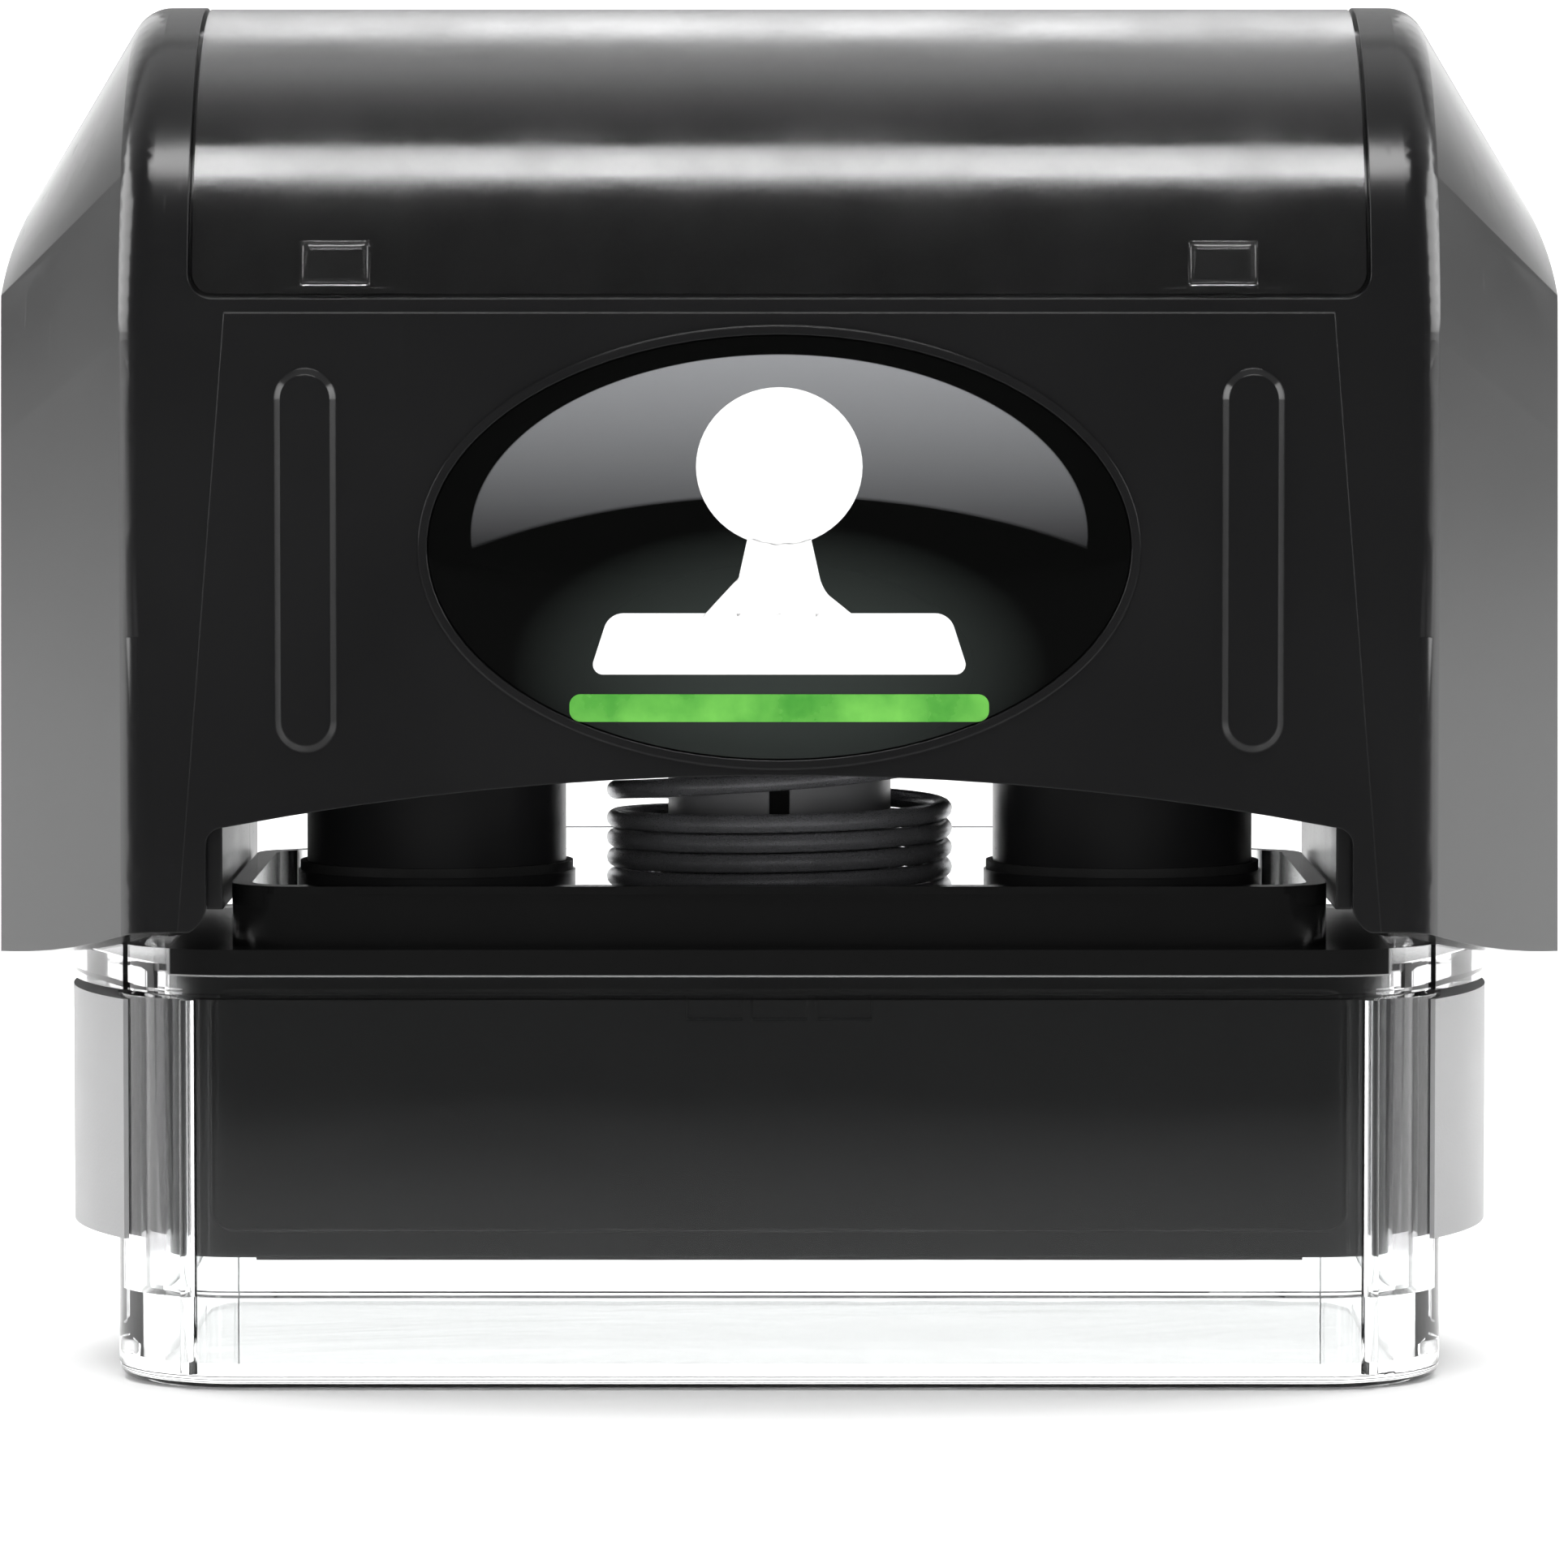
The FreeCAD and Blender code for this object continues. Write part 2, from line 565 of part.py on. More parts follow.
def crown_corners():
    """Straight walls under a half-round crown, split where the crease of the end starts.

    Both end sections start at form_low, a little under the trimmed lower edge.
    """
    across_share = math.cos(math.radians(CREASE_ANGLE))
    up_share = math.sin(math.radians(CREASE_ANGLE))
    side, radius = D.shell_half_y, D.shell_half_y
    crease_y, crease_z = radius * across_share, D.axis_height + radius * up_share
    return [corner(-side, D.form_low), corner(side, D.form_low),
            corner(side, D.axis_height, curve=radius), corner(crease_y, crease_z, curve=radius),
            corner(0, D.axis_height + radius, curve=radius),
            corner(-crease_y, crease_z, curve=radius), corner(-side, D.axis_height)]


def nose_corners():
    """The narrow section at the very end; its upper corner pulls the crease down to itself."""
    half = D.nose_half
    return [corner(-half, D.form_low), corner(half, D.form_low), corner(half, D.nose_low),
            corner(half, D.nose_side), corner(0, D.nose_top), corner(-half, D.nose_side),
            corner(-half, D.nose_low)]


def handle_outside():
    """The crown between two ruled ends, with the edges where they meet rounded over."""
    body = doc.addObject("PartDesign::Body", "shell_outside")
    middle = body.newObject("PartDesign::Pad", "crown_pad")
    middle.Profile = crown_section(body, "crown_outline", -D.corner_x, crown_corners())
    middle.setExpression("Length", (D.corner_x * 2).formula)
    for side, sign in SIDES:
        loft = body.newObject("PartDesign::AdditiveLoft", f"end_loft_{side}")
        loft.Profile = crown_section(body, f"end_root_{side}", D.corner_x * sign, crown_corners())
        loft.Sections = [crown_section(body, f"end_nose_{side}", D.shell_half_x * sign, nose_corners())]
        loft.Ruled = True
    corner_x = D.corner_x.value
    dress(body, "Fillet", "Radius", D.corner_round,
          lambda edge: edge.BoundBox.XLength < 0.01 and abs(abs(edge.BoundBox.XMin) - corner_x) < 0.01
          and edge.BoundBox.ZMax > D.form_low.value + 1)
    high = D.axis_height + D.tool_reach
    limit = across("shell_limit", [corner(-D.shell_half_x, D.cap_floor), corner(D.shell_half_x, D.cap_floor),
                                   corner(D.shoulder_x, D.shoulder_z, D.shoulder_round),
                                   corner(D.limit_x, high), corner(-D.limit_x, high),
                                   corner(-D.shoulder_x, D.shoulder_z, D.shoulder_round)], D.tool_reach)
    return common("shell_form", [body, limit])


def handle_cavity():
    """The room inside: straight walls up to the step, then a half-round under the crown."""
    half_y = D.shell_half_y - D.shell_wall
    nose_x = D.shell_half_x - D.end_wall
    plan = [corner(-D.cavity_corner_x, -half_y), corner(D.cavity_corner_x, -half_y),
            corner(nose_x, -D.cavity_nose_half), corner(nose_x, D.cavity_nose_half),
            corner(D.cavity_corner_x, half_y), corner(-D.cavity_corner_x, half_y),
            corner(-nose_x, D.cavity_nose_half), corner(-nose_x, -D.cavity_nose_half)]
    room = prism("cavity_room", "XY_Plane", plan, D.cap_floor, D.cavity_step - D.cap_floor)
    radius = D.core_radius - D.core_wall
    vault = lying_cylinder("cavity_vault", radius, D.window_half_x, D.axis_height)
    neck = box("cavity_neck", (-D.window_half_x, -radius, D.cavity_step),
               (D.window_half_x, radius, D.axis_height))
    return fuse("cavity", [room, vault, neck])


def grip_pad(side, sign):
    """A raised obround pad, the same on the front and on the back."""
    middle = D.pad_x * sign
    rounding = D.pad_half * 0.99
    outline = [corner(middle - D.pad_half, D.pad_low, rounding),
               corner(middle + D.pad_half, D.pad_low, rounding),
               corner(middle + D.pad_half, D.pad_high, rounding),
               corner(middle - D.pad_half, D.pad_high, rounding)]
    depth = D.shell_half_y + D.pad_proud
    pad = across(f"grip_pad_{side}", outline, depth)
    face = depth.value - 0.01
    dress(pad, "Chamfer", "Size", D.pad_chamfer,
          lambda edge: abs(edge.BoundBox.YMin) > face and abs(edge.BoundBox.YMax) > face
          and edge.BoundBox.YLength < 0.01)
    return pad


def facet():
    """A faint raised facet on the front and back walls, narrower at the top."""
    outline = mirrored([corner(D.facet_low_x, D.cap_floor), corner(D.facet_low_x, D.leg_bottom),
                        corner(D.facet_high_x, D.facet_high_z)])
    return across("wall_facet", outline, D.shell_half_y + D.facet_proud)


def arch_cutter():
    """The opening under the front and back walls, with a bowed top and rounded leg ends."""
    rise = D.arch_top.value - D.spring_line.value
    half_span = D.arch_x.value - D.arch_corner.value
    bow = Size((half_span ** 2 + rise ** 2) / (2 * rise),
               "(((Sizes.arch_x - Sizes.arch_corner) ^ 2 + (Sizes.arch_top - Sizes.spring_line) ^ 2)"
               " / (2 * (Sizes.arch_top - Sizes.spring_line)))")
    right = [corner(D.leg_x, D.cap_floor),
             corner(D.leg_x, D.leg_bottom, curve=D.leg_round, centre_left=False),
             corner(D.arch_x, D.leg_bottom + D.leg_round),
             corner(D.arch_x, D.spring_line - D.arch_corner, curve=D.arch_corner),
             corner(D.arch_x - D.arch_corner, D.spring_line, curve=bow)]
    left = [corner(-(D.arch_x - D.arch_corner), D.spring_line, curve=D.arch_corner),
            corner(-D.arch_x, D.spring_line - D.arch_corner),
            corner(-D.arch_x, D.leg_bottom + D.leg_round, curve=D.leg_round, centre_left=False),
            corner(-D.leg_x, D.leg_bottom),
            corner(-D.leg_x, D.cap_floor)]
    return across("arch_cutter", right + left, D.tool_reach)


def bottom_cutter():
    """Trims the end walls' lower edge to a shallow bow, lowest in the middle."""
    half_y = D.shell_half_y + D.pad_proud
    rim = D.shell_bottom + D.bottom_rise
    outline = [corner(-half_y, D.cap_floor), corner(half_y, D.cap_floor),
               corner(half_y, rim, curve=D.bottom_radius, centre_left=False), corner(-half_y, rim)]
    return along("bottom_cutter", outline, D.tool_reach)


def crown_strip(name, half_x, low, rounding):
    """Everything above low between x = -half_x and half_x, with rounded lower corners."""
    high = D.axis_height + D.tool_reach
    outline = [corner(-half_x, low, rounding), corner(half_x, low, rounding),
               corner(half_x, high), corner(-half_x, high)]
    return across(name, outline, D.tool_reach)


def window_seat_cutter():
    strip = crown_strip("seat_strip", D.window_half_x + D.window_gap, D.window_low - D.window_gap,
                        D.window_corner + D.window_gap)
    core = lying_cylinder("seat_core", D.core_radius, D.tool_reach, D.axis_height)
    return cut("window_seat", strip, [core])


def clip_notches():
    notches = []
    depth = D.window_outer - D.notch_floor
    for side, sign in SIDES:
        middle = D.clip_x * sign
        outline = [corner(middle - D.notch_low_half, D.notch_low),
                   corner(middle + D.notch_low_half, D.notch_low),
                   corner(middle + D.notch_high_half, D.notch_high),
                   corner(middle - D.notch_high_half, D.notch_high)]
        for face, start in (("front", D.notch_floor), ("back", -D.window_outer)):
            notches.append(prism(f"notch_{side}_{face}", "XZ_Plane", outline, start, depth))
    return notches


def build_handle_shell():
    pads = [grip_pad(side, sign) for side, sign in SIDES]
    rim = oval("badge_rim", D.rim_major, D.rim_minor, D.badge_z, D.shell_half_y - D.badge_sink,
               D.shell_half_y + D.rim_proud + D.facet_proud)
    solid = fuse("shell_solid", [handle_outside(), facet(), rim] + pads)
    recess = oval("badge_recess", D.rim_major - D.rim_width, D.rim_minor - D.rim_width, D.badge_z,
                  D.shell_half_y - D.badge_sink, D.shell_half_y + D.pad_proud * 2)
    tools = [handle_cavity(), window_seat_cutter(), arch_cutter(), bottom_cutter(), recess]
    return cut("handle_shell", solid, tools + clip_notches())


def build_front_badge():
    shrink = D.rim_width + D.badge_play
    front = D.shell_half_y + D.badge_proud
    plate = oval("badge_plate", D.rim_major - shrink, D.rim_minor - shrink, D.badge_z,
                 D.shell_half_y - D.badge_sink, front)
    dome = doc.addObject("Part::Sphere", "badge_dome_ball")
    dome.setExpression("Radius", D.badge_dome.formula)
    place(dome, 0, D.badge_dome - front, D.badge_z)
    return common("front_badge", [plate, dome])


def build_index_window():
    shell = cut("window_tube", lying_cylinder("window_round", D.window_outer, D.tool_reach, D.axis_height),
                [lying_cylinder("window_bore", D.window_inner, D.tool_reach, D.axis_height)])
    arch = common("window_arch", [shell, crown_strip("window_strip", D.window_half_x, D.window_low,
                                                     D.window_corner)])
    hooks = []
    for side, sign in SIDES:
        middle = D.clip_x * sign
        for face, low, high in (("front", -D.clip_outer, -D.clip_inner),
                                ("back", D.clip_inner, D.clip_outer)):
            hooks.append(box(f"hook_{side}_{face}", (middle - D.clip_half, low, D.clip_low),
                             (middle + D.clip_half, high, D.clip_high)))
    return fuse("index_window", [arch] + hooks)


def build_pieces():
    pieces = [build_dust_cap(), build_skirt_frame(), build_stop_pads(), build_post_screws(),
              build_spring_seat(), build_return_spring(), build_spring_guide_tube(),
              build_die_carrier(), build_die_retainer(), build_ink_die(),
              inner_block("ink_reservoir_pad", D.felt_bottom, D.plate_bottom),
              inner_block("reservoir_plate", D.plate_bottom, D.cushion_bottom),
              inner_block("mount_cushion", D.cushion_bottom, D.carrier_roof),
              build_inner_chassis(), build_press_columns(), build_spring_cup(),
              build_handle_shell(), build_front_badge(), build_index_window()]
    for side, sign in SIDES:
        pieces += [build_cap_grip(side, sign), build_guide_bush(side, sign),
                   build_post_ring(side, sign), build_guide_post(side, sign),
                   build_side_plate(side, sign)]
    return pieces


def check_and_export(pieces):
    doc.recompute()
    for item in doc.Objects:
        if "Invalid" in item.State or "Error" in item.State:
            raise RuntimeError(f"{item.Name} failed: {item.State}")
    for piece in pieces:
        if piece.Shape.isNull() or not piece.Shape.isValid():
            raise RuntimeError(f"{piece.Name} has no valid shape")
        bounds = piece.Shape.BoundBox
        print(f"{piece.Label:20s} solids {len(piece.Shape.Solids)} volume {piece.Shape.Volume:9.1f}"
              f" z {bounds.ZMin:.2f} to {bounds.ZMax:.2f}")
    os.makedirs("parts", exist_ok=True)
    for piece in pieces:
        piece.Shape.exportStep(f"parts/{piece.Label}.step")


check_and_export(build_pieces())
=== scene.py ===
import json
import math

import bmesh
import bpy
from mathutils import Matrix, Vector


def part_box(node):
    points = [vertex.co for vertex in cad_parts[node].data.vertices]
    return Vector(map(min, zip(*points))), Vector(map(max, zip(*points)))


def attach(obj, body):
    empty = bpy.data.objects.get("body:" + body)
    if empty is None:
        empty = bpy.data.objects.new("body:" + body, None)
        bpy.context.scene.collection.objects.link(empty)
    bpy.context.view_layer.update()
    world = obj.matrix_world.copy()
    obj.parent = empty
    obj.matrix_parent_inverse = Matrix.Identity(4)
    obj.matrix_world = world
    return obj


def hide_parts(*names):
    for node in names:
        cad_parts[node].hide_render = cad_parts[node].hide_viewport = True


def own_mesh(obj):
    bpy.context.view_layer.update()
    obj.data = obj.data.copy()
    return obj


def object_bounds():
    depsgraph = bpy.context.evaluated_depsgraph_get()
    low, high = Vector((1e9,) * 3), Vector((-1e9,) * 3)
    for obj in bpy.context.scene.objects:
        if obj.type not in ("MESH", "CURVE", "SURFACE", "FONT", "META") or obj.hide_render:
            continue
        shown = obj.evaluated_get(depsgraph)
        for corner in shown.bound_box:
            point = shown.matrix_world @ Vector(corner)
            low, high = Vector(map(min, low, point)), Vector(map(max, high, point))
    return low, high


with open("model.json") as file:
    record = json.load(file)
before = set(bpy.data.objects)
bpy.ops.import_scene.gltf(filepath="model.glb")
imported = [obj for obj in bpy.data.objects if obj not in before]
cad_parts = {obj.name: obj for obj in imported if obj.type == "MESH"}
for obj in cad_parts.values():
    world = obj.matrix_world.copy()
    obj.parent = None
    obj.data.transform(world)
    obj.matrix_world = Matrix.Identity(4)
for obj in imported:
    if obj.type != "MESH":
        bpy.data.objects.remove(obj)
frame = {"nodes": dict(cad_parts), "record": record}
CAD_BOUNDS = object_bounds()
NODES = frame["nodes"]
MM = 0.001
CLEAR_TINT = (0.97, 0.98, 0.98)
CLEARNESS = 0.996
POLISH = 0.015
# Painted shade: grey laid into the clear plastic's ends, beyond these limits, for the dark parts seen
# through them.
PAINTED_SHADE_TINT = (0.76, 0.76, 0.765)
PAINTED_SHADE_X = 38.9 * MM
PAINTED_SHADE_Z = 8.2 * MM
MOTIF_SCALE = 1.25


# --- node material helpers --------------------------------------------------------------------

class Recipe:
    """One node material, built round its Principled shader."""

    def __init__(self, name, color, roughness, **constants):
        self.material = bpy.data.materials.new(name)
        self.material.use_nodes = True
        self.tree = self.material.node_tree
        self.shader = self.tree.nodes["Principled BSDF"]
        self.shader.inputs["Base Color"].default_value = (*color, 1.0)
        self.shader.inputs["Roughness"].default_value = roughness
        for socket, value in constants.items():
            self.shader.inputs[socket.replace("_", " ")].default_value = value
        self.place = self.add("ShaderNodeTexCoord").outputs["Object"]

    def add(self, kind, links=None, **settings):
        node = self.tree.nodes.new(kind)
        for key, value in settings.items():
            setattr(node, key, value)
        for socket, value in (links or {}).items():
            if isinstance(value, bpy.types.NodeSocket):
                self.tree.links.new(value, node.inputs[socket])
            else:
                node.inputs[socket].default_value = value
        return node

    def noise(self, per_metre, detail=3.0, stretch=(1, 1, 1), distortion=0.0):
        mapping = self.add("ShaderNodeMapping", {"Vector": self.place, "Scale": stretch})
        node = self.add("ShaderNodeTexNoise", {"Vector": mapping.outputs[0], "Scale": per_metre,
                                               "Detail": detail, "Distortion": distortion})
        return node.outputs["Fac"]

    def cells(self, per_metre):
        node = self.add("ShaderNodeTexVoronoi", {"Vector": self.place, "Scale": per_metre})
        return node.outputs["Distance"]

    def split_place(self):
        return self.add("ShaderNodeSeparateXYZ", {0: self.place}).outputs

    def ranged(self, value, low_in, high_in, low_out, high_out):
        return self.add("ShaderNodeMapRange", {"Value": value, "From Min": low_in, "From Max": high_in,
                                               "To Min": low_out, "To Max": high_out}).outputs[0]

    def math(self, operation, first, second=0.0, clamp=False):
        node = self.add("ShaderNodeMath", {0: first, 1: second}, operation=operation)
        node.use_clamp = clamp
        return node.outputs[0]

    def mix(self, factor, first, second):
        node = self.add("ShaderNodeMix", {"Factor": factor}, data_type="RGBA")
        for number, color in ((6, first), (7, second)):
            if isinstance(color, bpy.types.NodeSocket):
                self.tree.links.new(color, node.inputs[number])
            else:
                node.inputs[number].default_value = (*color, 1.0)
        return node.outputs[2]

    def bump(self, height, strength, depth, under=None):
        links = {"Height": height, "Strength": strength, "Distance": depth}
        if under is not None:
            links["Normal"] = under
        return self.add("ShaderNodeBump", links).outputs[0]

    def rounded_edges(self, radius):
        return self.add("ShaderNodeBevel", {"Radius": radius}, samples=6).outputs[0]

    def feed(self, **sockets):
        for name, value in sockets.items():
            self.tree.links.new(value, self.shader.inputs[name.replace("_", " ")])
        return self.material


def scratches(recipe, per_metre, low, high):
    """Fine straight marks: a noise pulled long in one direction, cut to its thin crests."""
    first = recipe.noise(per_metre, 2.0, stretch=(0.05, 1, 1.3))
    second = recipe.noise(per_metre * 0.8, 2.0, stretch=(1, 0.4, 0.04))
    return recipe.ranged(recipe.math("MAXIMUM", first, second), low, high, 0.0, 1.0)


def moulded_plastic(name, color, roughness, spread, edge=0.0, grain=2500.0, grain_depth=0.00001,
                    **constants):
    """Moulded plastic: uneven gloss, a faint skin and hairline handling marks."""
    recipe = Recipe(name, color, roughness, **constants)
    smears = recipe.noise(45.0, 4.0, distortion=0.6)
    marks = scratches(recipe, 2200.0, 0.66, 0.74)
    gloss = recipe.ranged(smears, 0.3, 0.7, roughness, roughness + spread)
    gloss = recipe.math("ADD", gloss, recipe.math("MULTIPLY", marks, spread))
    under = recipe.rounded_edges(edge) if edge else None
    skin = recipe.bump(recipe.noise(grain, 2.0), 0.12, grain_depth, under)
    tint = recipe.mix(recipe.ranged(smears, 0.35, 0.75, 0.0, 1.0), color,
                      tuple(channel * 1.25 for channel in color))
    return recipe.feed(Roughness=gloss, Normal=skin, Base_Color=tint)


def clear_plastic(name, tint, roughness, flow, clearness):
    """Clear styrene: flow marks from the mould, uneven polish and a trace of haze inside."""
    recipe = Recipe(name, tint, roughness, Transmission_Weight=clearness, IOR=1.5)
    waves = recipe.noise(38.0, 3.0, stretch=(0.5, 1, 1.6), distortion=1.6)
    haze = recipe.ranged(recipe.noise(120.0, 4.0), 0.35, 0.75, roughness, roughness * 2.2)
    return recipe.feed(Roughness=haze, Normal=recipe.bump(waves, flow, 0.0006))


def band_mask(recipe, value, low, high, blur):
    """One between low and high, zero outside, with a short ramp at each end."""
    rise = recipe.ranged(value, low - blur, low, 0.0, 1.0)
    fall = recipe.ranged(value, high, high + blur, 1.0, 0.0)
    return recipe.math("MULTIPLY", rise, fall)


def shaded_end_plastic(name, deck=None):
    """Clear styrene with painted shade: its ends are tinted grey for the dark parts seen through; deck
    is a band painted near-black and made opaque, if any.
    """
    recipe = Recipe(name, CLEAR_TINT, POLISH, Transmission_Weight=CLEARNESS, IOR=1.5)
    parts = recipe.split_place()
    blur = 0.15 * MM
    outward = recipe.math("ABSOLUTE", parts["X"])
    # painted shade: grey at the ends, where dark parts show through the clear plastic
    painted_shade_ends = recipe.math("MULTIPLY", recipe.ranged(outward, PAINTED_SHADE_X - blur, PAINTED_SHADE_X + blur, 0.0, 1.0),
                        recipe.ranged(parts["Z"], PAINTED_SHADE_Z - blur, PAINTED_SHADE_Z + blur, 0.0, 1.0))
    tint = recipe.mix(painted_shade_ends, CLEAR_TINT, PAINTED_SHADE_TINT)
    waves = recipe.noise(38.0, 3.0, stretch=(0.5, 1, 1.6), distortion=1.6)
    haze = recipe.ranged(recipe.noise(120.0, 4.0), 0.35, 0.75, POLISH, POLISH * 2.2)
    if deck:
        # a band across the front, painted near-black and made opaque
        low, high, half_x, rear_y = deck
        across = recipe.ranged(outward, half_x - blur, half_x + blur, 1.0, 0.0)
        depth = recipe.ranged(parts["Y"], rear_y - blur, rear_y + blur, 1.0, 0.0)
        height = band_mask(recipe, parts["Z"], low, high, blur)
        black = recipe.math("MULTIPLY", recipe.math("MULTIPLY", across, depth), height)
        tint = recipe.mix(black, tint, (0.006, 0.006, 0.006))
        haze = recipe.math("ADD", haze, recipe.math("MULTIPLY", black, 0.16))
        recipe.feed(Transmission_Weight=recipe.math("SUBTRACT", CLEARNESS, black, clamp=True))
    return recipe.feed(Base_Color=tint, Roughness=haze, Normal=recipe.bump(waves, 0.035, 0.0006))


def frosted_plastic():
    recipe = Recipe("frosted_plastic", (0.42, 0.42, 0.425), 0.42, Transmission_Weight=0.4, IOR=1.5)
    spark = recipe.noise(5200.0, 3.0)
    haze = recipe.ranged(recipe.noise(60.0, 3.0), 0.3, 0.7, 0.38, 0.5)
    return recipe.feed(Roughness=haze, Normal=recipe.bump(spark, 0.35, 0.00004))


def spring_steel():
    recipe = Recipe("spring_steel", (0.3, 0.3, 0.31), 0.25, Metallic=0.75)
    drawn = recipe.noise(9000.0, 3.0, stretch=(1, 1, 5))
    gloss = recipe.ranged(drawn, 0.3, 0.7, 0.24, 0.34)
    tint = recipe.mix(recipe.ranged(recipe.noise(140.0), 0.35, 0.7, 0.0, 1.0),
                      (0.24, 0.24, 0.25), (0.34, 0.34, 0.36))
    return recipe.feed(Roughness=gloss, Base_Color=tint, Normal=recipe.bump(drawn, 0.08, 0.000004))


def rubber(name, color, roughness):
    recipe = Recipe(name, color, roughness)
    pores = recipe.cells(3200.0)
    tint = recipe.mix(recipe.ranged(recipe.noise(260.0), 0.35, 0.7, 0.0, 1.0), color,
                      tuple(channel * 1.6 for channel in color))
    gloss = recipe.ranged(recipe.noise(180.0, 4.0), 0.3, 0.7, roughness, roughness + 0.2)
    return recipe.feed(Base_Color=tint, Roughness=gloss, Normal=recipe.bump(pores, 0.35, 0.00005))


def felt():
    recipe = Recipe("ink_felt", (0.02, 0.02, 0.025), 0.9, Sheen_Weight=0.3)
    fibres = recipe.noise(2600.0, 5.0, stretch=(1, 0.3, 1), distortion=2.0)
    tint = recipe.mix(fibres, (0.012, 0.012, 0.016), (0.05, 0.05, 0.06))
    return recipe.feed(Base_Color=tint, Normal=recipe.bump(fibres, 0.7, 0.0002))


def foam():
    recipe = Recipe("foam", (0.3, 0.3, 0.31), 0.85)
    cells = recipe.cells(1800.0)
    tint = recipe.mix(cells, (0.16, 0.16, 0.17), (0.38, 0.38, 0.39))
    return recipe.feed(Base_Color=tint, Normal=recipe.bump(cells, 0.8, 0.0003))


def ellipse_inside(recipe, across, up, centre_up, half_across, half_up):
    """Above zero inside an oval, in metres on the badge's face."""
    first = recipe.math("DIVIDE", across, half_across)
    second = recipe.math("DIVIDE", recipe.math("SUBTRACT", up, centre_up), half_up)
    reach = recipe.math("ADD", recipe.math("MULTIPLY", first, first),
                        recipe.math("MULTIPLY", second, second))
    return recipe.math("SUBTRACT", 1.0, reach)


def badge_face(centre_up):
    """Black print under a clear dome, with painted reflection: a grey sheen painted in the upper half
    and a dim glow painted low down.
    """
    recipe = Recipe("badge_face", (0.003, 0.003, 0.003), 0.06, Coat_Weight=0.2, Coat_Roughness=0.03)
    parts = recipe.split_place()
    across, up = parts["X"], recipe.math("SUBTRACT", parts["Z"], centre_up)
    inside = ellipse_inside(recipe, across, up, 0.8 * MM, 19.5 * MM, 11.4 * MM)
    below = ellipse_inside(recipe, across, up, -13.0 * MM, 32.0 * MM, 16.2 * MM)
    # painted reflection: the dome's grey sheen, fading darker downwards
    painted_sheen = recipe.math("MULTIPLY", recipe.ranged(inside, 0.0, 0.012, 0.0, 1.0),
                        recipe.ranged(below, 0.0, -0.03, 0.0, 1.0))
    fade = recipe.ranged(up, 0.0, 12.5 * MM, 0.0, 1.0)
    painted_sheen_tone = recipe.mix(fade, (0.022, 0.022, 0.023), (0.26, 0.265, 0.275))
    # painted glow: a dim green-grey light low on the badge
    glow = recipe.ranged(ellipse_inside(recipe, across, up, -7.5 * MM, 17.0 * MM, 9.0 * MM),
                         0.0, 1.0, 0.0, 1.0)
    ground = recipe.mix(glow, (0.0016, 0.0017, 0.0016), (0.030, 0.036, 0.033))
    color = recipe.mix(painted_sheen, ground, painted_sheen_tone)
    gloss = recipe.ranged(recipe.noise(90.0, 4.0), 0.35, 0.75, 0.04, 0.10)
    return recipe.feed(Base_Color=color, Roughness=gloss)


def print_ink(name, low, high, per_metre):
    """Printed ink with a little unevenness."""
    recipe = Recipe(name, high, 0.3)
    speckle = recipe.ranged(recipe.noise(per_metre, 4.0), 0.3, 0.7, 0.0, 1.0)
    return recipe.feed(Base_Color=recipe.mix(speckle, low, high),
                       Roughness=recipe.ranged(speckle, 0.0, 1.0, 0.24, 0.36))


def studio_floor():
    recipe = Recipe("studio_floor", (0.9, 0.9, 0.9), 0.7)
    mottle = recipe.noise(6.0, 3.0)
    return recipe.feed(Base_Color=recipe.mix(mottle, (0.89, 0.89, 0.89), (0.93, 0.93, 0.93)))


# --- mesh helpers -----------------------------------------------------------------------------

def mesh_piece(name, points, faces, material, smooth=True):
    mesh = bpy.data.meshes.new(name)
    mesh.from_pydata([tuple(point) for point in points], [], faces)
    mesh.validate()
    obj = bpy.data.objects.new(name, mesh)
    bpy.context.scene.collection.objects.link(obj)
    obj.data.materials.append(material)
    for polygon in mesh.polygons:
        polygon.use_smooth = smooth
    return obj


def fix_normals(obj):
    sheet = bmesh.new()
    sheet.from_mesh(obj.data)
    bmesh.ops.recalc_face_normals(sheet, faces=sheet.faces)
    sheet.to_mesh(obj.data)
    sheet.free()
    return obj


def swept_wire(name, path, wire_radius, material, sides=14):
    """A round wire along a list of points about the Z axis, with hemispherical ends."""
    rings, last = [], len(path) - 1
    for index, spot in enumerate(path):
        ahead = (path[min(index + 1, last)] - path[max(index - 1, 0)]).normalized()
        outward = Vector((spot.x, spot.y, 0)).normalized()
        upward = ahead.cross(outward).normalized()
        outward = upward.cross(ahead).normalized()
        rings.append((spot, ahead, outward, upward, wire_radius))
    caps = [(tilt, math.sqrt(1 - tilt ** 2)) for tilt in (0.25, 0.6, 0.85, 0.97)]
    start = [(rings[0][0] - rings[0][1] * wire_radius * reach, *rings[0][1:4], wire_radius * width)
             for reach, width in reversed(caps)]
    end = [(rings[-1][0] + rings[-1][1] * wire_radius * reach, *rings[-1][1:4], wire_radius * width)
           for reach, width in caps]
    rings = start + rings + end
    points, faces = [], []
    for spot, _, outward, upward, radius in rings:
        for side in range(sides):
            angle = math.tau * side / sides
            points.append(spot + (outward * math.cos(angle) + upward * math.sin(angle)) * radius)
    for ring in range(len(rings) - 1):
        for side in range(sides):
            after = (side + 1) % sides
            faces.append((ring * sides + side, ring * sides + after,
                          (ring + 1) * sides + after, (ring + 1) * sides + side))
    faces.append(tuple(range(sides)))
    faces.append(tuple(range((len(rings) - 1) * sides, len(rings) * sides)))
    return fix_normals(mesh_piece(name, points, faces, material))


# --- pieces -------------------------------------------------------------------------------------

